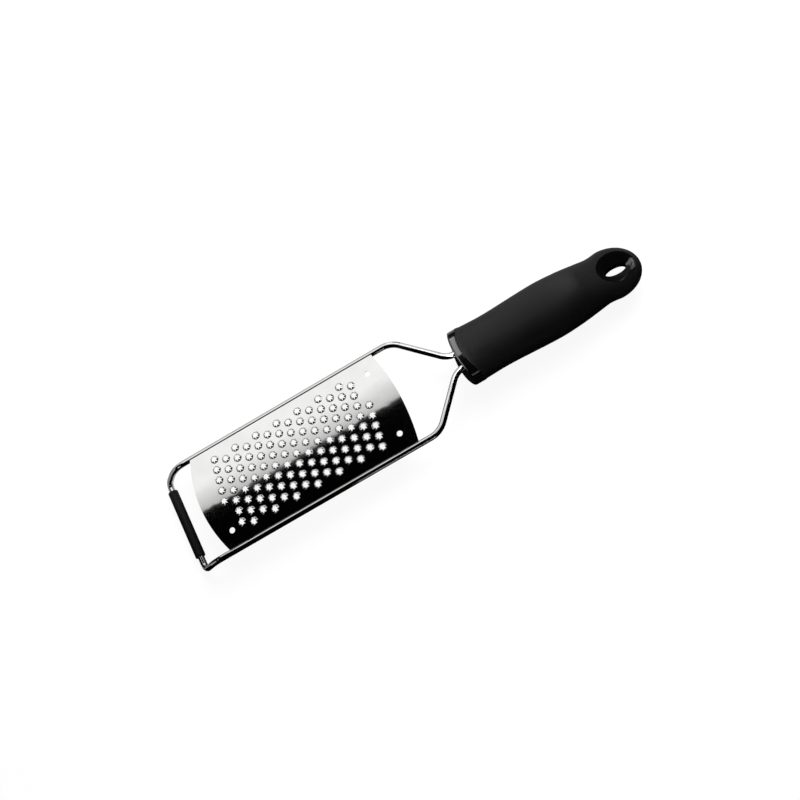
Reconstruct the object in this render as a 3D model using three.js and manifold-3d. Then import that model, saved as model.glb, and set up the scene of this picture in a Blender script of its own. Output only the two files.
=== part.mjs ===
// Hand grater with a star-punched blade: an arched steel sheet welded on a bent steel rod,
// a rubber foot on the rod's front bar and a soft-grip handle on its two tails.
// Millimetres, +Z up. X runs from the foot to the handle, Y across the blade, and Z = 0 is the table.

import * as THREE from 'three';
import { mergeVertices } from 'three/addons/utils/BufferGeometryUtils.js';
import Module from 'manifold-3d';

const wasm = await Module();
wasm.setup();

// Blade sheet, with X = 0 midway between its corners
const BLADE_LENGTH = 131.5;
const BLADE_WIDTH = 64;
const BLADE_THICKNESS = 0.5;
const BLADE_ARCH = 0.8;
const FRONT_CROWN = 5.8;
const REAR_CROWN = 3.6;

// Star pattern: staggered rows along the blade, each star a ring of teeth bent up from the sheet
const ROW_COUNT = 15;
const ROW_SPACING = 3.42;
const ROW_SHIFT = 6.885;
const STAR_PITCH = 15;
const PATTERN_SHIFT = -2.95;
const PATTERN_END_MARGIN = 11.95;
const STAR_TEETH = 7;
const STAR_DIAMETER = 5.2;
const TOOTH_TIP_DIAMETER = 3.2;
const TOOTH_HEIGHT = 1.2;

// Round holes near three corners of the blade
const HOLE_DIAMETER = 3.7;
const HOLE_FROM_FRONT = 6.4;
const HOLE_FROM_REAR = 7.7;
const HOLE_FROM_SIDE = 10;

// Rod frame
const ROD_DIAMETER = 4;
const BLADE_OVERHANG = 1.3;
const BLADE_SEAT_GAP = 0.15;
const SHOULDER_REACH = 13.8;
const SHOULDER_RADIUS = 15;
const NECK_REACH = 26.5;
const NECK_RADIUS = 12.5;
const NECK_SPACING = 10.2;
const ROD_TAIL = 52;
const FOOT_REACH = 22.6;
const FOOT_DROP = 11.2;
const FOOT_SLOPE = 46;
const FOOT_SPACING = 62.3;
const KINK_RADIUS = 15;
const FOOT_CORNER_RADIUS = 4.5;

// Weld beads under the blade, along the inside of each side rod
const WELDS_PER_SIDE = 4;
const WELD_LENGTH = 5;
const WELD_DIAMETER = 1.2;
const WELD_END_MARGIN = 14;
const WELD_GAP = 0.06;

// Rubber sleeve on the foot bar
const SLEEVE_LENGTH = 47.2;
const SLEEVE_DIAMETER = 6.3;
const SLEEVE_OFFSET = 1.4;
const SLEEVE_BORE_GAP = 0.2;
const SLEEVE_CHAMFER = 0.5;

// Handle outline: full widths and heights at stations measured back from the front rim
const RIM_REACH = 4;
const COLLAR_WIDTH = 36.3;
const COLLAR_HEIGHT = 29.2;
const WAIST_AT = 24.5;
const WAIST_WIDTH = 34.7;
const WAIST_HEIGHT = 27.2;
const BELLY_AT = 61;
const BELLY_WIDTH = 37.45;
const BELLY_HEIGHT = 28;
const FLANK_AT = 77;
const FLANK_WIDTH = 35.8;
const FLANK_HEIGHT = 26;
const TAPER_AT = 90;
const TAPER_WIDTH = 32.7;
const TAPER_HEIGHT = 22.6;
const NAPE_AT = 97;
const NAPE_WIDTH = 31.1;
const NAPE_HEIGHT = 20.6;
const BULB_AT = 104.5;
const BULB_WIDTH = 32.85;
const BULB_HEIGHT = 19;
const TAIL_LENGTH = 20.5;
const TAIL_BLUNTNESS = 0.85;
const TAIL_DROOP = 1.8;
const SECTION_POWER = 2.3;
const HANDLE_LIFT = 0.5;
const HANDLE_DROOP = 0.0225;

// Front collar: a ring with a convex front face and a spigot under the grip
const RIM_NOSE = 0.75;
const RIM_BULGE = 3.4;
const RIM_LEAN = 0.04;
const RIM_ROUND = 0.5;
const RIM_WALL = 1.4;
const BAND_TOP = 4.3;
const BAND_SIDE = 6;
const SPIGOT_LENGTH = 14;
const SPIGOT_WALL = 1.6;
const MOUTH_DEPTH = 8.5;
const MOUTH_TAPER = 4;
const FACE_FADE_END = 30;

// Soft grip, core and hanging eye
const GRIP_WALL = 2.6;
const EYE_FROM_END = 16;
const EYE_LENGTH = 14;
const EYE_WIDTH = 6.2;
const EYE_MOUTH_LENGTH = 22.6;
const EYE_MOUTH_WIDTH = 18.2;
const EYE_THROAT = 0.33;
const EYE_DISH_DEPTH = 8.4;
const EYE_FLARE_POWER = 1.15;
const LINER_RIM = 0.8;
const CORE_TO_EYE = 4;
const CORE_CHAMFER = 2.5;
const FIT_GAP = 0.3;

// How finely round shapes are divided
const ROD_SIDES = 12;
const BEND_STEPS = 6;
const SLEEVE_SIDES = 20;
const END_STEPS = 10;
const HOLE_SIDES = 10;
const HANDLE_SIDES = 32;
const GRIP_STEPS = 18;
const CORE_STEPS = 8;
const TAIL_STEPS = 5;
const EYE_SIDES = 28;
const EYE_STEPS = 12;

// Places that follow from the sizes above
const rodRadius = ROD_DIAMETER / 2;
const rodSpacing = BLADE_WIDTH + 2 * BLADE_OVERHANG;
const footZ = SLEEVE_DIAMETER / 2;
const rodZ = footZ + FOOT_DROP;
const seatRise = Math.sqrt(rodRadius ** 2 - BLADE_OVERHANG ** 2);
const bladeEdgeZ = rodZ + seatRise + BLADE_SEAT_GAP + BLADE_THICKNESS;
const frontX = -BLADE_LENGTH / 2;
const rearX = BLADE_LENGTH / 2;
const footX = frontX - FOOT_REACH;
const shoulderX = rearX + SHOULDER_REACH;
const neckX = shoulderX + NECK_REACH;
const rimX = neckX + RIM_REACH;
const tailX = rimX + BULB_AT + TAIL_LENGTH;
const eyeX = tailX - EYE_FROM_END;
const coreEndX = eyeX - EYE_MOUTH_LENGTH / 2 - LINER_RIM - CORE_TO_EYE;

const steel = new THREE.MeshStandardMaterial({ color: 0xc9cbcd, metalness: 1, roughness: 0.14 });
const weldSteel = new THREE.MeshStandardMaterial({ color: 0x9a9a98, metalness: 1, roughness: 0.45 });
const footRubber = new THREE.MeshStandardMaterial({ color: 0x1b1b1c, metalness: 0, roughness: 0.7 });
const softGrip = new THREE.MeshStandardMaterial({ color: 0x242425, metalness: 0, roughness: 0.75 });
const glossPlastic = new THREE.MeshStandardMaterial({ color: 0x0d0d0e, metalness: 0, roughness: 0.12 });
const corePlastic = new THREE.MeshStandardMaterial({ color: 0x19191a, metalness: 0, roughness: 0.5 });

// A closed mesh as a solid that can be joined and cut
function toSolid(geometry) {
  const bare = geometry.clone();
  bare.deleteAttribute('normal');
  bare.deleteAttribute('uv');
  const merged = mergeVertices(bare, 1e-4);
  const vertProperties = new Float32Array(merged.attributes.position.array);
  const triVerts = new Uint32Array(merged.index.array);
  return new wasm.Manifold(new wasm.Mesh({ numProp: 3, vertProperties, triVerts }));
}

function toGeometry(solid) {
  const mesh = solid.getMesh();
  return indexedGeometry(Array.from(mesh.vertProperties), Array.from(mesh.triVerts));
}

function indexedGeometry(positions, triangles) {
  const geometry = new THREE.BufferGeometry();
  geometry.setAttribute('position', new THREE.Float32BufferAttribute(positions, 3));
  geometry.setIndex(triangles);
  geometry.computeVertexNormals();
  return geometry;
}

// A skin over rings of equally many points, closed by flat caps, or by joining the last ring to the first
function loft(rings, joinEnds = false) {
  const sides = rings[0].length;
  const positions = rings.flat().flatMap((p) => [p.x, p.y, p.z]);
  const triangles = [];
  const spans = joinEnds ? rings.length : rings.length - 1;
  for (let r = 0; r < spans; r++) {
    const here = r * sides;
    const next = ((r + 1) % rings.length) * sides;
    for (let i = 0; i < sides; i++) {
      const j = (i + 1) % sides;
      triangles.push(here + i, here + j, next + j, here + i, next + j, next + i);
    }
  }
  if (!joinEnds) {
    const last = (rings.length - 1) * sides;
    for (let i = 1; i < sides - 1; i++) {
      triangles.push(0, i + 1, i, last, last + i, last + i + 1);
    }
  }
  return withoutCollapsed(indexedGeometry(positions, triangles));
}

// A skin whose rings may close to a point, with the triangles that vanish there left out
function withoutCollapsed(geometry) {
  geometry.deleteAttribute('normal');
  const merged = mergeVertices(geometry, 1e-4);
  const index = merged.index.array;
  const kept = [];
  for (let i = 0; i < index.length; i += 3) {
    const [a, b, c] = index.slice(i, i + 3);
    if (a !== b && b !== c && c !== a) {
      kept.push(a, b, c);
    }
  }
  merged.setIndex(kept);
  return merged;
}

// A path of straights and round bends, with a station at each end of a straight and a few round each bend
class BentPath extends THREE.Curve {
  constructor(corners, radii) {
    super();
    this.points = [];
    this.tangents = [];
    const turns = corners.slice(1, -1).map((corner, i) => {
      const back = corners[i].clone().sub(corner);
      const ahead = corners[i + 2].clone().sub(corner);
      const turn = Math.PI - back.angleTo(ahead);
      return { corner, back, ahead, turn, setback: radii[i] * Math.tan(turn / 2) };
    });
    const room = turns.map((bend, i) => {
      const before = bend.setback + (i > 0 ? turns[i - 1].setback : 0);
      const after = bend.setback + (i < turns.length - 1 ? turns[i + 1].setback : 0);
      return Math.min(1, (0.98 * bend.back.length()) / before, (0.98 * bend.ahead.length()) / after);
    });
    this.addStation(corners[0], corners[1].clone().sub(corners[0]));
    turns.forEach((bend, i) => this.addBend(bend, room[i]));
    const end = corners.length - 1;
    this.addStation(corners[end], corners[end].clone().sub(corners[end - 1]));
  }

  addStation(point, tangent) {
    this.points.push(point.clone());
    this.tangents.push(tangent.clone().normalize());
  }

  addBend({ corner, back, ahead, turn, setback }, share) {
    const reach = setback * share;
    const radius = reach / Math.tan(turn / 2);
    const forward = back.clone().normalize().negate();
    const start = corner.clone().addScaledVector(forward, -reach);
    const inward = ahead.clone().normalize().addScaledVector(forward, -Math.cos(turn)).normalize();
    const centre = start.clone().addScaledVector(inward, radius);
    for (let k = 0; k <= BEND_STEPS; k++) {
      const angle = (turn * k) / BEND_STEPS;
      const point = centre
        .clone()
        .addScaledVector(inward, -radius * Math.cos(angle))
        .addScaledVector(forward, radius * Math.sin(angle));
      const tangent = forward
        .clone()
        .multiplyScalar(Math.cos(angle))
        .addScaledVector(inward, Math.sin(angle));
      this.addStation(point, tangent);
    }
  }

  get steps() {
    return this.points.length - 1;
  }

  getUtoTmapping(u) {
    return u;
  }

  getPoint(t) {
    return this.points[Math.round(t * this.steps)].clone();
  }

  getTangent(t) {
    return this.tangents[Math.round(t * this.steps)].clone();
  }
}

function circleShape(radius, sides) {
  const points = [];
  for (let i = 0; i < sides; i++) {
    const angle = (2 * Math.PI * i) / sides;
    points.push(new THREE.Vector2(radius * Math.cos(angle), radius * Math.sin(angle)));
  }
  return new THREE.Shape(points);
}

// One rod from tail to tail: neck, shoulder, side, sloping leg, foot bar and back along the other side
function frameRod() {
  const half = rodSpacing / 2;
  const neck = NECK_SPACING / 2;
  const kinkX = footX + FOOT_DROP / Math.tan(THREE.MathUtils.degToRad(FOOT_SLOPE));
  const oneSide = [
    new THREE.Vector3(neckX + ROD_TAIL, neck, rodZ),
    new THREE.Vector3(neckX, neck, rodZ),
    new THREE.Vector3(shoulderX, half, rodZ),
    new THREE.Vector3(kinkX, half, rodZ),
    new THREE.Vector3(footX, FOOT_SPACING / 2, footZ),
  ];
  const mirror = new THREE.Vector3(1, -1, 1);
  const otherSide = oneSide.map((p) => p.clone().multiply(mirror)).reverse();
  const sideRadii = [NECK_RADIUS, SHOULDER_RADIUS, KINK_RADIUS, FOOT_CORNER_RADIUS];
  const path = new BentPath([...oneSide, ...otherSide], [...sideRadii, ...sideRadii.slice().reverse()]);
  const shape = circleShape(rodRadius, ROD_SIDES);
  return new THREE.ExtrudeGeometry(shape, { extrudePath: path, steps: path.steps });
}

// A tube with chamfered ends, with one of its flats facing down
function footSleeve() {
  const outer = SLEEVE_DIAMETER / 2 / Math.cos(Math.PI / SLEEVE_SIDES);
  const bore = (rodRadius + SLEEVE_BORE_GAP) / Math.cos(Math.PI / SLEEVE_SIDES);
  const half = SLEEVE_LENGTH / 2;
  const profile = [
    [bore, -half],
    [outer - SLEEVE_CHAMFER, -half],
    [outer, -half + SLEEVE_CHAMFER],
    [outer, half - SLEEVE_CHAMFER],
    [outer - SLEEVE_CHAMFER, half],
    [bore, half],
    [bore, -half],
  ].map(([r, y]) => new THREE.Vector2(r, y));
  return new THREE.LatheGeometry(profile, SLEEVE_SIDES, Math.PI / SLEEVE_SIDES);
}

function bladeTopZ(y) {
  return bladeEdgeZ + BLADE_ARCH * (1 - ((2 * y) / BLADE_WIDTH) ** 2);
}

// The sheet's outline: two straight sides and two crowned ends, counter-clockwise
function bladeOutline() {
  const points = [];
  for (let i = 0; i <= END_STEPS; i++) {
    const y = (i / END_STEPS - 0.5) * BLADE_WIDTH;
    points.push(new THREE.Vector2(rearX + REAR_CROWN * (1 - ((2 * y) / BLADE_WIDTH) ** 2), y));
  }
  for (let i = 0; i <= END_STEPS; i++) {
    const y = (0.5 - i / END_STEPS) * BLADE_WIDTH;
    points.push(new THREE.Vector2(frontX - FRONT_CROWN * (1 - ((2 * y) / BLADE_WIDTH) ** 2), y));
  }
  return points;
}

function starCentres() {
  const centres = [];
  const middleRow = (ROW_COUNT - 1) / 2;
  const reach = BLADE_LENGTH / 2 - PATTERN_END_MARGIN;
  const copies = Math.ceil(BLADE_LENGTH / STAR_PITCH + (middleRow * ROW_SHIFT) / STAR_PITCH);
  for (let row = -middleRow; row <= middleRow; row++) {
    for (let copy = -copies; copy <= copies; copy++) {
      const x = row * ROW_SHIFT + copy * STAR_PITCH;
      if (Math.abs(x) <= reach) {
        centres.push(new THREE.Vector2(PATTERN_SHIFT + x, -row * ROW_SPACING));
      }
    }
  }
  return centres;
}

function roundHoleCentres() {
  const side = BLADE_WIDTH / 2 - HOLE_FROM_SIDE;
  return [
    new THREE.Vector2(frontX + HOLE_FROM_FRONT, -side),
    new THREE.Vector2(rearX - HOLE_FROM_REAR, -side),
    new THREE.Vector2(rearX - HOLE_FROM_REAR, side),
  ];
}

function polygonRound(centre, radius, sides, firstAngle) {
  const points = [];
  for (let i = 0; i < sides; i++) {
    const angle = firstAngle + (2 * Math.PI * i) / sides;
    const spoke = new THREE.Vector2(Math.cos(angle), Math.sin(angle));
    points.push(spoke.multiplyScalar(radius).add(centre));
  }
  return points;
}

// The arched sheet: a plate with a hole at the foot of each star's teeth, then the teeth themselves
function blade() {
  const outline = bladeOutline();
  const stars = starCentres();
  const toothStep = (2 * Math.PI) / STAR_TEETH;
  const firstRoot = Math.PI - toothStep / 2;
  const roots = stars.map((c) => polygonRound(c, STAR_DIAMETER / 2, STAR_TEETH, firstRoot));
  const drilled = roundHoleCentres().map((c) => polygonRound(c, HOLE_DIAMETER / 2, HOLE_SIDES, 0));
  const holes = [...roots, ...drilled].map((loop) => loop.slice().reverse());
  const flat = [...outline, ...holes.flat()];
  const count = flat.length;
  const positions = [];
  for (const drop of [0, BLADE_THICKNESS]) {
    flat.forEach((p) => positions.push(p.x, p.y, bladeTopZ(p.y) - drop));
  }
  const triangles = [];
  for (const [a, b, c] of THREE.ShapeUtils.triangulateShape(outline, holes)) {
    triangles.push(a, b, c, count + a, count + c, count + b);
  }
  const wall = (first, length) => {
    for (let i = 0; i < length; i++) {
      const a = first + i;
      const b = first + ((i + 1) % length);
      triangles.push(a, count + a, count + b, a, count + b, b);
    }
  };
  wall(0, outline.length);
  drilled.forEach((loop, i) => {
    wall(outline.length + stars.length * STAR_TEETH + i * HOLE_SIDES, loop.length);
  });
  stars.forEach((centre, s) => {
    const first = outline.length + s * STAR_TEETH;
    for (let k = 0; k < STAR_TEETH; k++) {
      const angle = firstRoot + toothStep * (k + 0.5);
      const tip = positions.length / 3;
      const x = centre.x + (TOOTH_TIP_DIAMETER / 2) * Math.cos(angle);
      const y = centre.y + (TOOTH_TIP_DIAMETER / 2) * Math.sin(angle);
      positions.push(x, y, bladeTopZ(y) + TOOTH_HEIGHT);
      const from = first + STAR_TEETH - 1 - k;
      const to = first + STAR_TEETH - 1 - ((k + 1) % STAR_TEETH);
      triangles.push(from, to, tip, count + to, count + from, tip);
      triangles.push(tip, to, count + to, from, tip, count + from);
    }
  });
  return indexedGeometry(positions, triangles);
}

// A bead in the corner between a side rod and the underside of the blade
function weldBead(x, side) {
  const radius = WELD_DIAMETER / 2;
  const bead = new THREE.CapsuleGeometry(radius, WELD_LENGTH - WELD_DIAMETER, 2, 8);
  const z = rodZ + seatRise + BLADE_SEAT_GAP - radius - WELD_GAP;
  const apart = rodRadius + radius + WELD_GAP;
  const y = rodSpacing / 2 - Math.sqrt(apart ** 2 - (z - rodZ) ** 2);
  bead.rotateZ(Math.PI / 2);
  bead.translate(x, side * y, z);
  return bead;
}

// Half width and half height of the handle through its stations
const handleStations = new THREE.CatmullRomCurve3(
  [
    [0, COLLAR_WIDTH, COLLAR_HEIGHT],
    [WAIST_AT, WAIST_WIDTH, WAIST_HEIGHT],
    [BELLY_AT, BELLY_WIDTH, BELLY_HEIGHT],
    [FLANK_AT, FLANK_WIDTH, FLANK_HEIGHT],
    [TAPER_AT, TAPER_WIDTH, TAPER_HEIGHT],
    [NAPE_AT, NAPE_WIDTH, NAPE_HEIGHT],
    [BULB_AT, BULB_WIDTH, BULB_HEIGHT],
  ].map(([at, width, height]) => new THREE.Vector3(at, width / 2, height / 2)),
);

function handleSection(at) {
  let low = 0;
  let high = 1;
  for (let i = 0; i < 40; i++) {
    const middle = (low + high) / 2;
    if (handleStations.getPoint(middle).x < at) {
      low = middle;
    } else {
      high = middle;
    }
  }
  return handleStations.getPoint(low);
}

function handleAxisZ(at) {
  const tailShare = Math.max(0, (at - NAPE_AT) / (BULB_AT + TAIL_LENGTH - NAPE_AT));
  return rodZ + HANDLE_LIFT - HANDLE_DROOP * at - TAIL_DROOP * tailShare ** 2;
}

// How far the front face's curve and lean still move a section that lies this far behind the rim
function faceShare(at) {
  return 1 - THREE.MathUtils.smoothstep(at, SPIGOT_LENGTH, FACE_FADE_END);
}

// One oval ring of the handle, set in from its outside. The offset may differ round the ring.
function handleRing(at, inset, offsetAt = () => 0) {
  const { y: halfWidth, z: halfHeight } = handleSection(at);
  return ovalRing(at, halfWidth - inset, halfHeight - inset, inset, offsetAt, halfWidth);
}

function ovalRing(at, halfWidth, halfHeight, floor, offsetAt, faceHalf) {
  const ring = [];
  const power = 2 / SECTION_POWER;
  const axisZ = handleAxisZ(at);
  for (let i = 0; i < HANDLE_SIDES; i++) {
    const angle = (2 * Math.PI * i) / HANDLE_SIDES;
    const c = Math.cos(angle);
    const s = Math.sin(angle);
    const y = halfWidth * Math.sign(c) * Math.abs(c) ** power;
    const up = halfHeight * Math.sign(s) * Math.abs(s) ** power;
    const face = RIM_BULGE * (y / faceHalf) ** 2 + RIM_LEAN * up - RIM_NOSE;
    const x = rimX + at + offsetAt(angle) + face * faceShare(at);
    ring.push(new THREE.Vector3(x, y, Math.max(axisZ + up, floor)));
  }
  return ring;
}

// Rings that close the tail in a blunt half ellipse
function tailRings(inset, steps) {
  const { y: halfWidth, z: halfHeight } = handleSection(BULB_AT);
  const rings = [];
  for (let i = 1; i <= steps; i++) {
    const angle = (Math.PI / 2) * (i / steps);
    const at = BULB_AT + (TAIL_LENGTH - inset) * Math.sin(angle);
    const close = Math.max(Math.cos(angle), 0);
    const height = (halfHeight - inset) * close ** TAIL_BLUNTNESS;
    rings.push(ovalRing(at, (halfWidth - inset) * close, height, inset, () => 0, halfWidth));
  }
  return rings;
}

// Length of the collar's band behind the rim, longer at the sides than on top
function bandLength(angle) {
  return THREE.MathUtils.lerp(BAND_TOP, BAND_SIDE, Math.cos(angle) ** 2);
}

// The ring at the front of the handle: rounded rim, band, spigot under the grip and tapered mouth
function frontCollar() {
  const spigot = GRIP_WALL + FIT_GAP;
  const bore = spigot + SPIGOT_WALL;
  const rings = [
    handleRing(0, RIM_ROUND),
    handleRing(0.3 * RIM_ROUND, 0.3 * RIM_ROUND),
    handleRing(RIM_ROUND, 0),
    handleRing(0, 0, bandLength),
    handleRing(0, spigot, bandLength),
    handleRing(SPIGOT_LENGTH, spigot),
    handleRing(SPIGOT_LENGTH, bore),
    handleRing(MOUTH_TAPER, bore),
    handleRing(0.3 * RIM_ROUND, RIM_WALL),
  ];
  return loft(rings, true);
}

function gripOutside() {
  const rings = [handleRing(0, 0, (angle) => bandLength(angle) + FIT_GAP)];
  const start = BAND_SIDE + FIT_GAP;
  for (let i = 1; i <= GRIP_STEPS; i++) {
    rings.push(handleRing(start + ((BULB_AT - start) * i) / GRIP_STEPS, 0));
  }
  return [...rings, ...tailRings(0, TAIL_STEPS)];
}

// Rings of the hollow inside the grip, or of the core that fills it, with a chamfer at the far end
function hollowRings(inset, endAt) {
  const rings = [];
  const start = SPIGOT_LENGTH + FIT_GAP;
  const chamferAt = endAt - CORE_CHAMFER;
  for (let i = 0; i <= CORE_STEPS; i++) {
    rings.push(handleRing(THREE.MathUtils.lerp(start, chamferAt, i / CORE_STEPS), inset));
  }
  rings.push(handleRing(endAt, inset + CORE_CHAMFER));
  return rings;
}

function handleCore() {
  const inset = GRIP_WALL + FIT_GAP;
  const nose = inset + SPIGOT_WALL + FIT_GAP;
  const noseRings = [handleRing(MOUTH_DEPTH, nose), handleRing(SPIGOT_LENGTH + FIT_GAP, nose)];
  let core = toSolid(loft([...noseRings, ...hollowRings(inset, coreEndX - rimX - FIT_GAP)]));
  for (const side of [1, -1]) {
    const bore = rodRadius + FIT_GAP;
    const socket = new THREE.CylinderGeometry(bore, bore, ROD_TAIL, ROD_SIDES);
    socket.rotateZ(Math.PI / 2);
    socket.translate(neckX + ROD_TAIL / 2 + FIT_GAP, (side * NECK_SPACING) / 2, rodZ);
    core = core.subtract(toSolid(socket));
  }
  return toGeometry(core);
}

// An upright oval post on the eye's axis
function eyePost(length, width) {
  const post = new THREE.CylinderGeometry(0.5, 0.5, 4 * BULB_HEIGHT, EYE_SIDES);
  post.rotateX(Math.PI / 2);
  post.scale(length, width, 1);
  post.translate(eyeX, 0, handleAxisZ(eyeX - rimX));
  return toSolid(post);
}

// The dished hole: a short straight throat at half height, flaring to both faces of the tail
function eyeDish() {
  const middleZ = handleAxisZ(eyeX - rimX);
  const ring = (length, width, z) => {
    const points = polygonRound(new THREE.Vector2(0, 0), 0.5, EYE_SIDES, 0);
    return points.map((p) => new THREE.Vector3(eyeX + p.x * length, p.y * width, z));
  };
  const rings = [ring(EYE_MOUTH_LENGTH, EYE_MOUTH_WIDTH, middleZ + BULB_HEIGHT)];
  for (let i = 0; i <= EYE_STEPS; i++) {
    const rise = 1 - (2 * i) / EYE_STEPS;
    const past = Math.max(0, (Math.abs(rise) - EYE_THROAT) / (1 - EYE_THROAT));
    const flare = past ** EYE_FLARE_POWER;
    const length = THREE.MathUtils.lerp(EYE_LENGTH, EYE_MOUTH_LENGTH, flare);
    const width = THREE.MathUtils.lerp(EYE_WIDTH, EYE_MOUTH_WIDTH, flare);
    rings.push(ring(length, width, middleZ + EYE_DISH_DEPTH * rise));
  }
  rings.push(ring(EYE_MOUTH_LENGTH, EYE_MOUTH_WIDTH, middleZ - BULB_HEIGHT));
  return toSolid(loft(rings.reverse()));
}

function grip() {
  const front = handleRing(0, GRIP_WALL, (angle) => bandLength(angle) + FIT_GAP);
  const inside = [front, ...hollowRings(GRIP_WALL, coreEndX - rimX)];
  const shell = toSolid(loft([...inside.reverse(), ...gripOutside()]));
  const cut = 2 * (LINER_RIM + FIT_GAP);
  return toGeometry(shell.subtract(eyePost(EYE_MOUTH_LENGTH + cut, EYE_MOUTH_WIDTH + cut)));
}

function eyeLiner() {
  const rim = 2 * LINER_RIM;
  const post = eyePost(EYE_MOUTH_LENGTH + rim, EYE_MOUTH_WIDTH + rim);
  return toGeometry(post.intersect(toSolid(loft(gripOutside()))).subtract(eyeDish()));
}

const grater = new THREE.Group();

function add(name, geometry, material) {
  const mesh = new THREE.Mesh(geometry, material);
  mesh.name = name;
  grater.add(mesh);
  return mesh;
}

add('blade', blade(), steel);
add('frame_rod', frameRod(), steel);
add('foot_sleeve', footSleeve(), footRubber).position.set(footX, SLEEVE_OFFSET, footZ);
add('front_collar', frontCollar(), glossPlastic);
add('handle_core', handleCore(), corePlastic);
add('grip', grip(), softGrip);
add('hang_eye_liner', eyeLiner(), glossPlastic);

const weldSpan = BLADE_LENGTH - 2 * WELD_END_MARGIN;
for (const [sideName, side] of [['left', 1], ['right', -1]]) {
  for (let i = 0; i < WELDS_PER_SIDE; i++) {
    const x = weldSpan * (i / (WELDS_PER_SIDE - 1) - 0.5);
    add(`weld_${sideName}_${i + 1}`, weldBead(x, side), weldSteel);
  }
}

// The origin is the middle of the footprint, on the table
const box = new THREE.Box3().setFromObject(grater);
grater.position.set(-(box.min.x + box.max.x) / 2, -(box.min.y + box.max.y) / 2, -box.min.z);

export default grater;
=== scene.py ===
"""Looks of the hand grater: polished star blade on a bent rod, rubber foot, soft grip with a hanging eye."""
import math

import bmesh
import bpy
from mathutils import Matrix, Vector


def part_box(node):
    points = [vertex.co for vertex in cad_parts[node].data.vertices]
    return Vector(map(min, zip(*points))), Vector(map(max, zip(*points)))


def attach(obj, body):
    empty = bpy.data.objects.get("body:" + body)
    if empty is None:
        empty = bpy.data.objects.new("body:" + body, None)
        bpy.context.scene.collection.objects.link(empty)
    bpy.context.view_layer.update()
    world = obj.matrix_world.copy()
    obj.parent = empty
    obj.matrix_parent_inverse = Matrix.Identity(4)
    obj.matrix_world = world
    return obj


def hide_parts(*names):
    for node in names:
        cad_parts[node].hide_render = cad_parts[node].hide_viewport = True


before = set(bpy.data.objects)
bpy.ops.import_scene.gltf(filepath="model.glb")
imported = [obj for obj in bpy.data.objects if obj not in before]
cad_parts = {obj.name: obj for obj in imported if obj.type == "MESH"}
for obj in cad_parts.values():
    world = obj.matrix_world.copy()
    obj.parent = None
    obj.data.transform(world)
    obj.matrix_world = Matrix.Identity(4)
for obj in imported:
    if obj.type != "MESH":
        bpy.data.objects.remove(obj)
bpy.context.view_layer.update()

# Shapes are worked out in millimetres and become metres when a piece is finished
MM = 0.001
BODY = "root"
MERGE_DISTANCE = 0.005
CREASE_DEGREES = 40
GLOSS_CREASE_DEGREES = 50

# Blade sheet and its star teeth. Faces that look up more than the flatness belong to the sheet
SHEET_THICKNESS = 0.5
SHEET_ARCH = 0.8
SHEET_FLATNESS = 0.99
FRONT_CROWN = 5.8
REAR_CROWN = 3.6
ROW_COUNT = 15
ROW_SPACING = 3.42
ROW_SHIFT = 6.885
STAR_PITCH = 15
PATTERN_SHIFT = -2.95
PATTERN_END_MARGIN = 11.95
STAR_TEETH = 7
STAR_RADIUS = 2.76
LIP_RADIUS = 2.55
LIP_HEIGHT = 0.07
TOOTH_HEIGHT = 1.2
TOOTH_TIP_RADIUS = 1.33
TOOTH_BEND_REACH = 1.9
TOOTH_BEND_HEIGHT = 0.5
TOOTH_BEND_SHARE = 0.58
TOOTH_TIP_THICKNESS = 0.12
HOLE_RADIUS = 1.85
HOLE_FROM_FRONT = 6.4
HOLE_FROM_REAR = 7.7
HOLE_FROM_SIDE = 10
END_STEPS = 36
HOLE_SIDES = 32

# Rod frame
ROD_RADIUS = 2
SHOULDER_REACH = 13.8
SHOULDER_BEND = 15
NECK_REACH = 26.5
NECK_BEND = 12.5
NECK_SPACING = 10.2
FOOT_SLOPE = 46
FOOT_SPACING = 62.3
KINK_BEND = 15
FOOT_CORNER_BEND = 4.5
ROD_SIDES = 28
BEND_STEPS = 14

# Rubber sleeve on the foot bar
SLEEVE_BORE_GAP = 0.2
SLEEVE_ROUND = 0.7
SLEEVE_ROUND_STEPS = 5
SLEEVE_SIDES = 56

# Weld beads under the blade
BEAD_STEPS = 18
BEAD_SIDES = 14
BEAD_BLUNTNESS = 6
BEAD_RIPPLES = 6
BEAD_RIPPLE_DEPTH = 0.07
BEAD_CREASE_DEGREES = 60

# Handle: distance behind the front rim, full width and full height
HANDLE_STATIONS = (
    (0, 36.3, 29.2),
    (24.5, 34.7, 27.2),
    (61, 37.45, 28),
    (77, 35.8, 26),
    (90, 32.7, 22.6),
    (97, 31.1, 20.6),
    (104.5, 32.85, 19),
)
BULB_AT = HANDLE_STATIONS[-1][0]
NAPE_AT = HANDLE_STATIONS[-2][0]
TAIL_LENGTH = 20.5
TAIL_BLUNTNESS = 0.85
TAIL_DROOP = 1.8
SECTION_POWER = 2.3
HANDLE_LIFT = 0.5
HANDLE_DROOP = 0.0225
HANDLE_SIDES = 96
GRIP_STEPS = 60
TAIL_STEPS = 22

# Front collar. The mouth's rolled edge has shares of the rim's round, and places inside its wall
RIM_REACH = 4
RIM_NOSE = 0.75
RIM_BULGE = 3.4
RIM_LEAN = 0.04
RIM_ROUND = 0.8
RIM_ROUND_STEPS = 5
RIM_WALL = 1.4
MOUTH_EDGE = ((0.6, 0.15), (0.12, -0.2))
# Faces that lean into the mouth past this take the darker black, painted shade inside the mouth
MOUTH_SHADE_LEAN = -0.3
BAND_TOP = 4.3
BAND_SIDE = 6
BAND_STEPS = 4
SPIGOT_LENGTH = 14
SPIGOT_WALL = 1.6
MOUTH_TAPER = 4
FACE_FADE_END = 30

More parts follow.
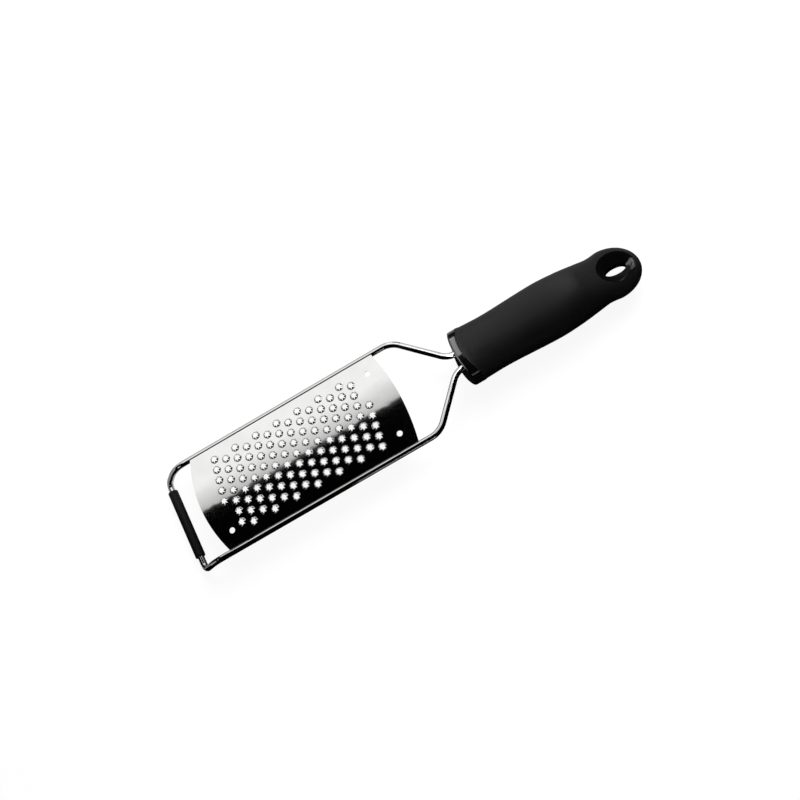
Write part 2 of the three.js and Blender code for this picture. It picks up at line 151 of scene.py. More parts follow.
# Grip wall and hanging eye
GRIP_WALL = 2.6
GRIP_EDGE = 0.3
GRIP_EDGE_BREAK = 0.09
SEAM = 0.2
EYE_SEAM = 0.05
EYE_FROM_END = 16
EYE_LENGTH = 14
EYE_WIDTH = 6.2
EYE_MOUTH_LENGTH = 22.6
EYE_MOUTH_WIDTH = 18.2
EYE_THROAT = 0.33
EYE_FLARE_POWER = 0.8
LINER_RIM = 0.8
CORE_TO_EYE = 4
CORE_CHAMFER = 2.5
FIT_GAP = 0.3
EYE_SIDES = 96
EYE_STEPS = 26
EYE_CUTTER_REACH = 4


def box_mm(node):
    """Corners of a node's box."""
    low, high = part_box(node)
    return low / MM, high / MM


BLADE_LOW, BLADE_HIGH = box_mm("blade")
ROD_LOW, ROD_HIGH = box_mm("frame_rod")
SLEEVE_LOW, SLEEVE_HIGH = box_mm("foot_sleeve")
HANDLE_END = box_mm("grip")[1].x

# Places that follow from the frame
FRONT_X = BLADE_LOW.x + FRONT_CROWN
REAR_X = BLADE_HIGH.x - REAR_CROWN
SHEET_HALF = BLADE_HIGH.y
SHEET_EDGE_Z = BLADE_HIGH.z - TOOTH_HEIGHT - SHEET_ARCH
SIDE_ROD_Y = ROD_HIGH.y - ROD_RADIUS
SIDE_ROD_Z = ROD_HIGH.z - ROD_RADIUS
FOOT_X = ROD_LOW.x + ROD_RADIUS
FOOT_Z = ROD_LOW.z + ROD_RADIUS
TAIL_END_X = ROD_HIGH.x
SHOULDER_X = REAR_X + SHOULDER_REACH
NECK_X = SHOULDER_X + NECK_REACH
RIM_X = NECK_X + RIM_REACH
EYE_X = HANDLE_END - EYE_FROM_END
HOLLOW_END = EYE_X - EYE_MOUTH_LENGTH / 2 - LINER_RIM - CORE_TO_EYE - RIM_X


# Colours and material nodes

def linear(hex_colour):
    """A colour written as sRGB hex, as the linear values a shader takes."""
    channels = [int(hex_colour[i:i + 2], 16) / 255 for i in (1, 3, 5)]
    return tuple(c / 12.92 if c <= 0.04045 else ((c + 0.055) / 1.055) ** 2.4 for c in channels) + (1.0,)


def per_metre(size_mm):
    """Texture scale on Object coordinates for a feature of this size."""
    return 1 / (size_mm * MM)


def add_node(tree, kind, inputs=None, stops=(), **settings):
    """One node: its settings, a ramp's colour stops, and its inputs, each a socket to link or a value."""
    made = tree.nodes.new(kind)
    for name, value in settings.items():
        setattr(made, name, value)
    for i, (position, hex_colour) in enumerate(stops):
        made.color_ramp.elements[i].position = position
        made.color_ramp.elements[i].color = linear(hex_colour)
    for name, value in (inputs or {}).items():
        socket = made.inputs[name]
        if isinstance(value, bpy.types.NodeSocket):
            tree.links.new(value, socket)
        else:
            socket.default_value = value
    return made


def new_material(name):
    """A material with an empty node tree, and the piece's own coordinates."""
    material = bpy.data.materials.new(name)
    material.use_nodes = True
    tree = material.node_tree
    tree.nodes.clear()
    place = add_node(tree, "ShaderNodeTexCoord").outputs["Object"]
    return material, tree, place


def close_material(tree, shader):
    """Gives a material its surface."""
    add_node(tree, "ShaderNodeOutputMaterial", {"Surface": shader})


def rolled_steel():
    """Stainless sheet, bright-rolled: a mirror with a trace of rolling lines along the blade, which
    spread a reflection's edge a little, faint clouds left by wiping, and a slow waviness left by the punch
    that bends reflections."""
    material, tree, place = new_material("bright_rolled_stainless")
    along = add_node(tree, "ShaderNodeMapping", {"Vector": place, "Scale": (0.03, 1.0, 1.0)})
    lines = add_node(tree, "ShaderNodeTexNoise", {
        "Vector": along.outputs["Vector"], "Scale": per_metre(0.9), "Detail": 3.0, "Roughness": 0.6})
    clouds = add_node(tree, "ShaderNodeTexNoise", {
        "Vector": place, "Scale": per_metre(14), "Detail": 3.0, "Roughness": 0.55})
    roughness = add_node(tree, "ShaderNodeMapRange", {
        "Value": lines.outputs["Fac"], "To Min": 0.05, "To Max": 0.085})
    tint = add_node(tree, "ShaderNodeValToRGB", {"Fac": clouds.outputs["Fac"]},
                    stops=((0.3, "#ebebea"), (0.7, "#f3f3f2")))
    relief = add_node(tree, "ShaderNodeBump", {
        "Height": lines.outputs["Fac"], "Strength": 0.012, "Distance": 0.05 * MM})
    pulled = add_node(tree, "ShaderNodeTexNoise", {
        "Vector": place, "Scale": per_metre(8), "Detail": 1.0, "Roughness": 0.5})
    buckle = add_node(tree, "ShaderNodeBump", {
        "Height": pulled.outputs["Fac"], "Strength": 1.0, "Distance": 0.04 * MM,
        "Normal": relief.outputs["Normal"]})
    shader = add_node(tree, "ShaderNodeBsdfPrincipled", {
        "Base Color": tint.outputs["Color"], "Metallic": 1.0, "Roughness": roughness.outputs["Result"],
        "Normal": buckle.outputs["Normal"]})
    close_material(tree, shader.outputs["BSDF"])
    return material


def drawn_steel():
    """Stainless rod, drawn and electropolished: a clean mirror with a barely uneven surface."""
    material, tree, place = new_material("electropolished_stainless_rod")
    wander = add_node(tree, "ShaderNodeTexNoise", {
        "Vector": place, "Scale": per_metre(6), "Detail": 2.0, "Roughness": 0.5})
    roughness = add_node(tree, "ShaderNodeMapRange", {
        "Value": wander.outputs["Fac"], "To Min": 0.05, "To Max": 0.09})
    tint = add_node(tree, "ShaderNodeValToRGB", {"Fac": wander.outputs["Fac"]},
                    stops=((0.0, "#e9e9e8"), (1.0, "#f4f4f3")))
    relief = add_node(tree, "ShaderNodeBump", {
        "Height": wander.outputs["Fac"], "Strength": 0.02, "Distance": 0.1 * MM})
    shader = add_node(tree, "ShaderNodeBsdfPrincipled", {
        "Base Color": tint.outputs["Color"], "Metallic": 1.0, "Roughness": roughness.outputs["Result"],
        "Normal": relief.outputs["Normal"]})
    close_material(tree, shader.outputs["BSDF"])
    return material


def weld_steel():
    """Spot-weld bead, left as welded: dull steel with straw and grey heat tint in small patches."""
    material, tree, place = new_material("heat_tinted_weld")
    patches = add_node(tree, "ShaderNodeTexNoise", {
        "Vector": place, "Scale": per_metre(1.6), "Detail": 4.0, "Roughness": 0.6})
    tint = add_node(tree, "ShaderNodeValToRGB", {"Fac": patches.outputs["Fac"]},
                    stops=((0.35, "#8d8880"), (0.65, "#b9b6b0")))
    roughness = add_node(tree, "ShaderNodeMapRange", {
        "Value": patches.outputs["Fac"], "To Min": 0.3, "To Max": 0.5})
    relief = add_node(tree, "ShaderNodeBump", {
        "Height": patches.outputs["Fac"], "Strength": 0.2, "Distance": 0.1 * MM})
    shader = add_node(tree, "ShaderNodeBsdfPrincipled", {
        "Base Color": tint.outputs["Color"], "Metallic": 1.0, "Roughness": roughness.outputs["Result"],
        "Normal": relief.outputs["Normal"]})
    close_material(tree, shader.outputs["BSDF"])
    return material


def soft_grip_rubber():
    """Thermoplastic elastomer, overmoulded in a spark-eroded mould: charcoal, matte, with a fine even grain
    that gives a soft wide sheen. The real grain is about 0.1 mm, and is drawn at 0.35 mm so that it shows."""
    material, tree, place = new_material("soft_touch_elastomer")
    grain = add_node(tree, "ShaderNodeTexNoise", {
        "Vector": place, "Scale": per_metre(0.35), "Detail": 2.0, "Roughness": 0.5})
    handling = add_node(tree, "ShaderNodeTexNoise", {
        "Vector": place, "Scale": per_metre(22), "Detail": 3.0, "Roughness": 0.5})
    tint = add_node(tree, "ShaderNodeValToRGB", {"Fac": handling.outputs["Fac"]},
                    stops=((0.3, "#0e0e0e"), (0.7, "#121213")))
    roughness = add_node(tree, "ShaderNodeMapRange", {
        "Value": handling.outputs["Fac"], "From Min": 0.3, "From Max": 0.7, "To Min": 0.5, "To Max": 0.58})
    relief = add_node(tree, "ShaderNodeBump", {
        "Height": grain.outputs["Fac"], "Strength": 0.12, "Distance": 0.08 * MM})
    shader = add_node(tree, "ShaderNodeBsdfPrincipled", {
        "Base Color": tint.outputs["Color"], "Roughness": roughness.outputs["Result"], "IOR": 1.5,
        "Specular IOR Level": 0.34, "Normal": relief.outputs["Normal"]})
    close_material(tree, shader.outputs["BSDF"])
    return material


def gloss_plastic():
    """Black ABS from a polished mould: deep black under a clear mirror gloss, with fine wiping marks."""
    material, tree, place = new_material("polished_black_abs")
    wiped = add_node(tree, "ShaderNodeTexNoise", {
        "Vector": place, "Scale": per_metre(3), "Detail": 4.0, "Roughness": 0.6})
    roughness = add_node(tree, "ShaderNodeMapRange", {
        "Value": wiped.outputs["Fac"], "To Min": 0.08, "To Max": 0.16})
    tint = add_node(tree, "ShaderNodeValToRGB", {"Fac": wiped.outputs["Fac"]},
                    stops=((0.0, "#0a0a0b"), (1.0, "#0f0f10")))
    relief = add_node(tree, "ShaderNodeBump", {
        "Height": wiped.outputs["Fac"], "Strength": 0.03, "Distance": 0.05 * MM})
    shader = add_node(tree, "ShaderNodeBsdfPrincipled", {
        "Base Color": tint.outputs["Color"], "Roughness": roughness.outputs["Result"], "IOR": 1.54,
        "Coat Weight": 0.5, "Coat Roughness": 0.06, "Normal": relief.outputs["Normal"]})
    close_material(tree, shader.outputs["BSDF"])
    return material


def mouth_shade_plastic():
    """Black ABS inside the collar, dull as from a plain mould, with a darker colour and weak reflection that
    paint the shade inside the mouth, so that the mouth is a dark hole.
    """
    material, tree, place = new_material("mouth_shade_black_abs")
    grain = add_node(tree, "ShaderNodeTexNoise", {
        "Vector": place, "Scale": per_metre(0.5), "Detail": 3.0, "Roughness": 0.6})
    roughness = add_node(tree, "ShaderNodeMapRange", {
        "Value": grain.outputs["Fac"], "To Min": 0.65, "To Max": 0.8})
    shader = add_node(tree, "ShaderNodeBsdfPrincipled", {
        "Base Color": linear("#060606"), "Roughness": roughness.outputs["Result"], "IOR": 1.54,
        "Specular IOR Level": 0.15})
    close_material(tree, shader.outputs["BSDF"])
    return material


def foot_rubber():
    """Extruded rubber tube: near-black and matte, with faint lines along the tube from the die."""
    material, tree, place = new_material("extruded_black_rubber")
    along = add_node(tree, "ShaderNodeMapping", {"Vector": place, "Scale": (1.0, 0.05, 1.0)})
    lines = add_node(tree, "ShaderNodeTexNoise", {
        "Vector": along.outputs["Vector"], "Scale": per_metre(0.7), "Detail": 3.0, "Roughness": 0.6})
    bloom = add_node(tree, "ShaderNodeTexNoise", {
        "Vector": place, "Scale": per_metre(5), "Detail": 4.0, "Roughness": 0.6})
    tint = add_node(tree, "ShaderNodeValToRGB", {"Fac": bloom.outputs["Fac"]},
                    stops=((0.35, "#080808"), (0.7, "#0b0b0b")))
    roughness = add_node(tree, "ShaderNodeMapRange", {
        "Value": bloom.outputs["Fac"], "To Min": 0.5, "To Max": 0.66})
    relief = add_node(tree, "ShaderNodeBump", {
        "Height": lines.outputs["Fac"], "Strength": 0.15, "Distance": 0.1 * MM})
    shader = add_node(tree, "ShaderNodeBsdfPrincipled", {
        "Base Color": tint.outputs["Color"], "Roughness": roughness.outputs["Result"], "IOR": 1.52,
        "Specular IOR Level": 0.32, "Normal": relief.outputs["Normal"]})
    close_material(tree, shader.outputs["BSDF"])
    return material


def core_plastic():
    """Glass-filled nylon, moulded: dark, slightly mottled, with a dull skin."""
    material, tree, place = new_material("glass_filled_nylon")
    fibres = add_node(tree, "ShaderNodeTexNoise", {
        "Vector": place, "Scale": per_metre(0.8), "Detail": 3.0, "Roughness": 0.6})
    tint = add_node(tree, "ShaderNodeValToRGB", {"Fac": fibres.outputs["Fac"]},
                    stops=((0.0, "#0e0e0e"), (1.0, "#161616")))
    roughness = add_node(tree, "ShaderNodeMapRange", {
        "Value": fibres.outputs["Fac"], "To Min": 0.45, "To Max": 0.6})
    relief = add_node(tree, "ShaderNodeBump", {
        "Height": fibres.outputs["Fac"], "Strength": 0.1, "Distance": 0.05 * MM})
    shader = add_node(tree, "ShaderNodeBsdfPrincipled", {
        "Base Color": tint.outputs["Color"], "Roughness": roughness.outputs["Result"], "IOR": 1.53,
        "Normal": relief.outputs["Normal"]})
    close_material(tree, shader.outputs["BSDF"])
    return material


# Making meshes

def finish_mesh(bm, name):
    """The finished shape in metres, as an object at the origin."""
    bmesh.ops.scale(bm, vec=(MM, MM, MM), verts=bm.verts)
    mesh = bpy.data.meshes.new(name)
    bm.to_mesh(mesh)
    bm.free()
    piece = bpy.data.objects.new(name, mesh)
    bpy.context.scene.collection.objects.link(piece)
    return piece


def smooth(piece, crease_degrees=CREASE_DEGREES):
    """Smooth shading that breaks at creases."""
    piece.data.shade_smooth()
    piece.data.set_sharp_from_angle(angle=math.radians(crease_degrees))


def dress(piece, materials, slot, *nodes):
    """Gives a piece its finish, or its finishes by face, and its place on the frame."""
    for material in materials:
        piece.data.materials.append(material)
    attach(piece, BODY)
    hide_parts(*nodes)


def edges_between(verts):
    """The edges that join these vertices, each once."""
    chosen = set(verts)
    return [e for v in verts for e in v.link_edges if e.other_vert(v) in chosen and e.verts[0] is v]


def start_ring(bm, sides, place):
    """A ring of vertices round the X axis, each moved to where its angle belongs."""
    made = bmesh.ops.create_circle(bm, segments=sides, radius=1)
    ring = made["verts"]
    for i, vert in enumerate(ring):
        vert.co = place(2 * math.pi * i / sides)
    return ring


def next_ring(bm, ring, place):
    """Extrudes a ring and moves each new vertex to where its angle belongs."""
    grown = bmesh.ops.extrude_edge_only(bm, edges=edges_between(ring))
    new = {g for g in grown["geom"] if isinstance(g, bmesh.types.BMVert)}
    moved = []
    for i, vert in enumerate(ring):
        partner = next(e.other_vert(vert) for e in vert.link_edges if e.other_vert(vert) in new)
        partner.co = place(2 * math.pi * i / len(ring))
        moved.append(partner)
    return moved


def skin(bm, sides, places):
    """A skin through rings, and its first and last ring."""
    first = start_ring(bm, sides, places[0])
    last = first
    for place in places[1:]:
        last = next_ring(bm, last, place)
    return first, last


# Blade

def sheet_rise(y):
    """Height of the arched sheet's upper face."""
    return SHEET_EDGE_Z + SHEET_ARCH * (1 - (y / SHEET_HALF) ** 2)


def star_centres():
    """Staggered rows of stars, kept clear of the sheet's ends."""
    middle_x = (FRONT_X + REAR_X) / 2
    middle_row = (ROW_COUNT - 1) // 2
    reach = (REAR_X - FRONT_X) / 2 - PATTERN_END_MARGIN
    copies = math.ceil((REAR_X - FRONT_X + middle_row * ROW_SHIFT) / STAR_PITCH)
    centres = []
    for row in range(-middle_row, middle_row + 1):
        for copy in range(-copies, copies + 1):
            x = row * ROW_SHIFT + copy * STAR_PITCH
            if abs(x) <= reach:
                centres.append(Vector((middle_x + PATTERN_SHIFT + x, -row * ROW_SPACING, 0)))
    return centres


def hole_centres():
    """One hole at the front and two at the rear."""
    side = SHEET_HALF - HOLE_FROM_SIDE
    return [
        Vector((FRONT_X + HOLE_FROM_FRONT, -side, 0)),
        Vector((REAR_X - HOLE_FROM_REAR, -side, 0)),
        Vector((REAR_X - HOLE_FROM_REAR, side, 0)),
    ]


def sheet_outline(bm):
    """Two straight sides and two crowned ends, as one loop of edges."""
    loop = []
    for end_x, crown, way in ((REAR_X, REAR_CROWN, 1), (FRONT_X, -FRONT_CROWN, -1)):
        for i in range(END_STEPS + 1):
            y = way * SHEET_HALF * (2 * i / END_STEPS - 1)
            loop.append(bm.verts.new((end_x + crown * (1 - (y / SHEET_HALF) ** 2), y, 0)))
    for i, vert in enumerate(loop):
        bm.edges.new((loop[i - 1], vert))


def star_teeth(bm, centres):
    """One tooth drawn up over a soft lip and bent in two steps, spun into a ring and copied to each star."""
    half_step = math.pi / STAR_TEETH
    lip_y = LIP_RADIUS * math.sin(half_step)
    rows = [
        (STAR_RADIUS * math.cos(half_step), STAR_RADIUS * math.sin(half_step), 0),
        (LIP_RADIUS * math.cos(half_step), lip_y, LIP_HEIGHT),
        (TOOTH_BEND_REACH, lip_y * TOOTH_BEND_SHARE, TOOTH_BEND_HEIGHT),
    ]
    verts = [bm.verts.new((x, side * y, z)) for x, y, z in rows for side in (-1, 1)]
    verts.append(bm.verts.new((TOOTH_TIP_RADIUS, 0, TOOTH_HEIGHT)))
    a, b, c, d, e, f, tip = verts
    tooth = [bm.faces.new((a, b, d, c)), bm.faces.new((c, d, f, e)), bm.faces.new((e, f, tip))]
    bmesh.ops.rotate(bm, verts=verts, cent=(0, 0, 0), matrix=Matrix.Rotation(math.pi, 3, "Z"))
    spare = set(bm.faces) - set(tooth)
    bmesh.ops.spin(bm, geom=verts + tooth, cent=(0, 0, 0), axis=(0, 0, 1), angle=2 * math.pi,
                   steps=STAR_TEETH, use_duplicate=True, use_merge=True)
    star = [f for f in bm.faces if f not in spare]
    star_parts = list({v for f in star for v in f.verts}) + star
    for centre in centres:
        copy = bmesh.ops.duplicate(bm, geom=star_parts)
        moved = [g for g in copy["geom"] if isinstance(g, bmesh.types.BMVert)]
        bmesh.ops.translate(bm, verts=moved, vec=centre)
    bmesh.ops.delete(bm, geom=star, context="FACES")


def blade():
    """The sheet, filled between its outline and the openings, with teeth, thickness and arch added."""
    bm = bmesh.new()
    sheet_outline(bm)
    centres = star_centres()
    first_root = Matrix.Rotation(math.pi - math.pi / STAR_TEETH, 4, "Z")
    for centre in centres:
        bmesh.ops.create_circle(bm, segments=STAR_TEETH, radius=STAR_RADIUS,
                                matrix=Matrix.Translation(centre) @ first_root)
    for centre in hole_centres():
        bmesh.ops.create_circle(bm, segments=HOLE_SIDES, radius=HOLE_RADIUS,
                                matrix=Matrix.Translation(centre))
    bmesh.ops.triangle_fill(bm, use_beauty=True, edges=bm.edges[:])
    star_teeth(bm, centres)
    bmesh.ops.remove_doubles(bm, verts=bm.verts, dist=MERGE_DISTANCE)
    bmesh.ops.recalc_face_normals(bm, faces=bm.faces)
    thick = bmesh.ops.extrude_face_region(bm, geom=bm.faces[:])
    under = [g for g in thick["geom"] if isinstance(g, bmesh.types.BMVert)]
    for vert in under:
        at_tip = vert.co.z > TOOTH_HEIGHT - MERGE_DISTANCE
        vert.co.z -= TOOTH_TIP_THICKNESS if at_tip else SHEET_THICKNESS
    for vert in bm.verts:
        vert.co.z += sheet_rise(vert.co.y)
    bmesh.ops.recalc_face_normals(bm, faces=bm.faces)
    piece = finish_mesh(bm, "star_blade")
    arch_normals(piece.data)
    return piece


def arch_normals(mesh):
    """The sheet shades as one smooth arch, and teeth and cut edges stay crisp."""
    normals = []
    for face in mesh.polygons:
        on_sheet = abs(face.normal.z) > SHEET_FLATNESS
        for corner in face.vertices:
            normal = face.normal
            if on_sheet:
                y = mesh.vertices[corner].co.y / MM
                slope = -2 * SHEET_ARCH * y / SHEET_HALF ** 2
                normal = Vector((0, -slope, 1)).normalized() * math.copysign(1, face.normal.z)
            normals.append(normal)
    mesh.shade_smooth()
    mesh.normals_split_custom_set(normals)


# Rod frame, foot sleeve and welds

def slide_ring(bm, ring, way):
    """Extrudes a ring of edges along a straight."""
    grown = bmesh.ops.extrude_edge_only(bm, edges=ring)
    verts = [g for g in grown["geom"] if isinstance(g, bmesh.types.BMVert)]
    bmesh.ops.translate(bm, verts=verts, vec=way)
    return edges_between(verts)


def frame_rod():
    """Half of the rod, from tail to the middle of the foot bar, extruded along straights and spun round
    bends, then mirrored."""
    kink_x = FOOT_X + (SIDE_ROD_Z - FOOT_Z) / math.tan(math.radians(FOOT_SLOPE))
    corners = [
        Vector((TAIL_END_X, NECK_SPACING / 2, SIDE_ROD_Z)),
        Vector((NECK_X, NECK_SPACING / 2, SIDE_ROD_Z)),
        Vector((SHOULDER_X, SIDE_ROD_Y, SIDE_ROD_Z)),
        Vector((kink_x, SIDE_ROD_Y, SIDE_ROD_Z)),
        Vector((FOOT_X, FOOT_SPACING / 2, FOOT_Z)),
        Vector((FOOT_X, 0, FOOT_Z)),
    ]
    bends = [NECK_BEND, SHOULDER_BEND, KINK_BEND, FOOT_CORNER_BEND]
    bm = bmesh.new()
    facing = Matrix.Translation(corners[0]) @ Matrix.Rotation(math.pi / 2, 4, "Y")
    tail = bmesh.ops.create_circle(bm, segments=ROD_SIDES, radius=ROD_RADIUS, cap_ends=True, matrix=facing)
    ring = edges_between(tail["verts"])
    here = corners[0]
    for i, bend in enumerate(bends, start=1):
        forward = (corners[i] - corners[i - 1]).normalized()
        ahead = (corners[i + 1] - corners[i]).normalized()
        turn = forward.angle(ahead)
        start = corners[i] - forward * bend * math.tan(turn / 2)
        axis = forward.cross(ahead).normalized()
        ring = slide_ring(bm, ring, start - here)
        spun = bmesh.ops.spin(bm, geom=ring, cent=start + axis.cross(forward) * bend, axis=axis,
                              angle=turn, steps=BEND_STEPS)
        ring = [g for g in spun["geom_last"] if isinstance(g, bmesh.types.BMEdge)]
        here = corners[i] + ahead * bend * math.tan(turn / 2)
    slide_ring(bm, ring, corners[-1] - here)
    half = bm.verts[:] + bm.edges[:] + bm.faces[:]
    bmesh.ops.mirror(bm, geom=half, axis="Y", merge_dist=MERGE_DISTANCE)
    bmesh.ops.remove_doubles(bm, verts=bm.verts, dist=MERGE_DISTANCE)
    bmesh.ops.recalc_face_normals(bm, faces=bm.faces)
    piece = finish_mesh(bm, "bent_rod")
    smooth(piece)
    return piece


def foot_sleeve():
    """A tube spun from its wall's section, with its outer ends rounded over."""
    middle = (SLEEVE_LOW + SLEEVE_HIGH) / 2
    half = (SLEEVE_HIGH.y - SLEEVE_LOW.y) / 2
    outer = middle.z - SLEEVE_LOW.z
    bore = ROD_RADIUS + SLEEVE_BORE_GAP
    section = [(-half, bore)]
    for end, start in ((SLEEVE_ROUND - half, math.pi), (half - SLEEVE_ROUND, math.pi / 2)):
        for i in range(SLEEVE_ROUND_STEPS + 1):
            angle = start - (math.pi / 2) * i / SLEEVE_ROUND_STEPS
            y = end + SLEEVE_ROUND * math.cos(angle)
            section.append((y, outer + SLEEVE_ROUND * (math.sin(angle) - 1)))
    section.append((half, bore))
    bm = bmesh.new()
    corners = [bm.verts.new((0, y, radius)) for y, radius in section]
    wall = [bm.edges.new((corners[i - 1], corners[i])) for i in range(len(corners))]
    bmesh.ops.spin(bm, geom=corners + wall, cent=(0, 0, 0), axis=(0, 1, 0), angle=2 * math.pi,
                   steps=SLEEVE_SIDES, use_merge=True)
    bmesh.ops.remove_doubles(bm, verts=bm.verts, dist=MERGE_DISTANCE)
    bmesh.ops.recalc_face_normals(bm, faces=bm.faces)
    bmesh.ops.translate(bm, verts=bm.verts, vec=middle)
    piece = finish_mesh(bm, "rubber_foot")
    smooth(piece)
    return piece


def weld_bead(node):
    """A rippled bead along the side rod, as long and thick as its place allows."""
    low, high = box_mm(node)
    middle = (low + high) / 2
    half = (high - low) / 2

    def place(share):
        along = math.sin(share * math.pi / 2)
        ripple = 1 - math.cos(math.pi * BEAD_RIPPLES * (along + 1))
        thick = math.sqrt(max(1 - along ** BEAD_BLUNTNESS, 0.0)) * (1 - BEAD_RIPPLE_DEPTH * ripple)
        return lambda angle: middle + Vector((
            half.x * along, half.y * thick * math.cos(angle), half.z * thick * math.sin(angle)))

    bm = bmesh.new()
    skin(bm, BEAD_SIDES, [place(2 * i / BEAD_STEPS - 1) for i in range(BEAD_STEPS + 1)])
    bmesh.ops.remove_doubles(bm, verts=bm.verts, dist=MERGE_DISTANCE)
    bmesh.ops.recalc_face_normals(bm, faces=bm.faces)
    piece = finish_mesh(bm, node.replace("weld", "weld_bead"))
    smooth(piece, BEAD_CREASE_DEGREES)
    return piece


# Handle

def through_stations(at, column):
    """A smooth curve through one column of the handle's stations."""
    points = [(s[0], s[column] / 2) for s in HANDLE_STATIONS]
    i = max(k for k in range(len(points) - 1) if points[k][0] <= at or k == 0)
    slopes = []
    for k in (i, i + 1):
        before = points[max(k - 1, 0)]
        after = points[min(k + 1, len(points) - 1)]
        slopes.append((after[1] - before[1]) / (after[0] - before[0]))
    span = points[i + 1][0] - points[i][0]
    t = (at - points[i][0]) / span
    return ((2 * t ** 3 - 3 * t ** 2 + 1) * points[i][1] + (t ** 3 - 2 * t ** 2 + t) * span * slopes[0]
            + (3 * t ** 2 - 2 * t ** 3) * points[i + 1][1] + (t ** 3 - t ** 2) * span * slopes[1])


def handle_half(at):
    """Half width and half height of the handle, with the tail closing in a blunt half ellipse."""
    body_at = min(at, BULB_AT)
    close = math.sqrt(max(1 - (max(at - BULB_AT, 0) / TAIL_LENGTH) ** 2, 0))
    return through_stations(body_at, 1) * close, through_stations(body_at, 2) * close ** TAIL_BLUNTNESS


def handle_axis(at):
    """Height of the handle's middle line, which droops towards the tail."""
    tail_share = max(0, (at - NAPE_AT) / (BULB_AT + TAIL_LENGTH - NAPE_AT))
    return SIDE_ROD_Z + HANDLE_LIFT - HANDLE_DROOP * at - TAIL_DROOP * tail_share ** 2


def face_share(at):
    """How far the collar's curved face still bends the rings behind it."""
    t = min(max((at - SPIGOT_LENGTH) / (FACE_FADE_END - SPIGOT_LENGTH), 0), 1)
    return 1 - t * t * (3 - 2 * t)


def rounded(value, power):
    """A power that keeps the sign, for the handle's squarish ovals."""
    return math.copysign(abs(value) ** power, value)


def handle_ring(at, inset=0.0, offset=lambda angle: 0.0):
    """Where a ring of the handle lies, set in from the outside. The offset may differ round the ring."""
    half_width, half_height = handle_half(at)
    axis_z = handle_axis(at)
    power = 2 / SECTION_POWER

    def place(angle):
        y = max(half_width - inset, 0) * rounded(math.cos(angle), power)
        up = max(half_height - inset, 0) * rounded(math.sin(angle), power)
        across = y / half_width if half_width else 0
        face = (RIM_BULGE * across ** 2 + RIM_LEAN * up - RIM_NOSE) * face_share(at)
        return Vector((RIM_X + at + offset(angle) + face, y, max(axis_z + up, inset)))

    return place


def band_length(angle):
    """Length of the collar's band, longer at the sides than on top."""
    return BAND_TOP + (BAND_SIDE - BAND_TOP) * math.cos(angle) ** 2


def front_collar():
    """A ring with a rounded rim, a band, a spigot under the grip and a tapered mouth, whose faces look in
    and take the second finish, a darker black that paints the shade inside the mouth."""
    spigot = GRIP_WALL + FIT_GAP
    bore = spigot + SPIGOT_WALL
    places = []
    for i in range(RIM_ROUND_STEPS + 1):
        angle = (math.pi / 2) * i / RIM_ROUND_STEPS
        places.append(handle_ring(RIM_ROUND * (1 - math.cos(angle)), RIM_ROUND * (1 - math.sin(angle))))
    for i in range(1, BAND_STEPS):
        places.append(handle_ring(RIM_ROUND, 0, lambda a, s=i / BAND_STEPS: (band_length(a) - RIM_ROUND) * s))
    places += [
        handle_ring(0, 0, band_length),
        handle_ring(0, spigot, band_length),
        handle_ring(SPIGOT_LENGTH, spigot),
        handle_ring(SPIGOT_LENGTH, bore),
        handle_ring(MOUTH_TAPER, bore),
    ]
    places += [handle_ring(share * RIM_ROUND, RIM_WALL + inside) for share, inside in MOUTH_EDGE]
    bm = bmesh.new()
    first, last = skin(bm, HANDLE_SIDES, places)
    bmesh.ops.bridge_loops(bm, edges=edges_between(last) + edges_between(first))
    bmesh.ops.recalc_face_normals(bm, faces=bm.faces)
    # Faces that look into the mouth take the darker black, painted shade inside the hole
    for face in bm.faces:
        middle = face.calc_center_median()
        outward = Vector((0, middle.y, middle.z - handle_axis(0)))
        face.material_index = int(face.normal.dot(outward.normalized()) < MOUTH_SHADE_LEAN)
    piece = finish_mesh(bm, "gloss_collar")
    smooth(piece, GLOSS_CREASE_DEGREES)
    return piece


def grip():
    """The soft shell: hollow for the core, rolled edge at the collar, and a hole for the eye's bush."""

    def band_end(angle):
        return band_length(angle) + SEAM

    places = [
        handle_ring(HOLLOW_END, GRIP_WALL + CORE_CHAMFER),
        handle_ring(HOLLOW_END - CORE_CHAMFER, GRIP_WALL),
        handle_ring(SPIGOT_LENGTH + FIT_GAP, GRIP_WALL),
        handle_ring(0, GRIP_WALL, band_end),
        handle_ring(0, GRIP_EDGE, band_end),
        handle_ring(0, GRIP_EDGE_BREAK, lambda a: band_end(a) + GRIP_EDGE_BREAK),
        handle_ring(0, 0, lambda a: band_end(a) + GRIP_EDGE),
    ]
    start = BAND_SIDE + SEAM + GRIP_EDGE
    for i in range(1, GRIP_STEPS + 1):
        places.append(handle_ring(start + (BULB_AT - start) * i / GRIP_STEPS))
    for i in range(1, TAIL_STEPS + 1):
        places.append(handle_ring(BULB_AT + TAIL_LENGTH * math.sin((math.pi / 2) * i / TAIL_STEPS)))
    bm = bmesh.new()
    first, last = skin(bm, HANDLE_SIDES, places)
    bmesh.ops.edgeloop_fill(bm, edges=edges_between(first))
    bmesh.ops.pointmerge(bm, verts=last, merge_co=last[0].co)
    bmesh.ops.recalc_face_normals(bm, faces=bm.faces)
    piece = finish_mesh(bm, "soft_grip")
    cut_eye(piece)
    smooth(piece)
    return piece


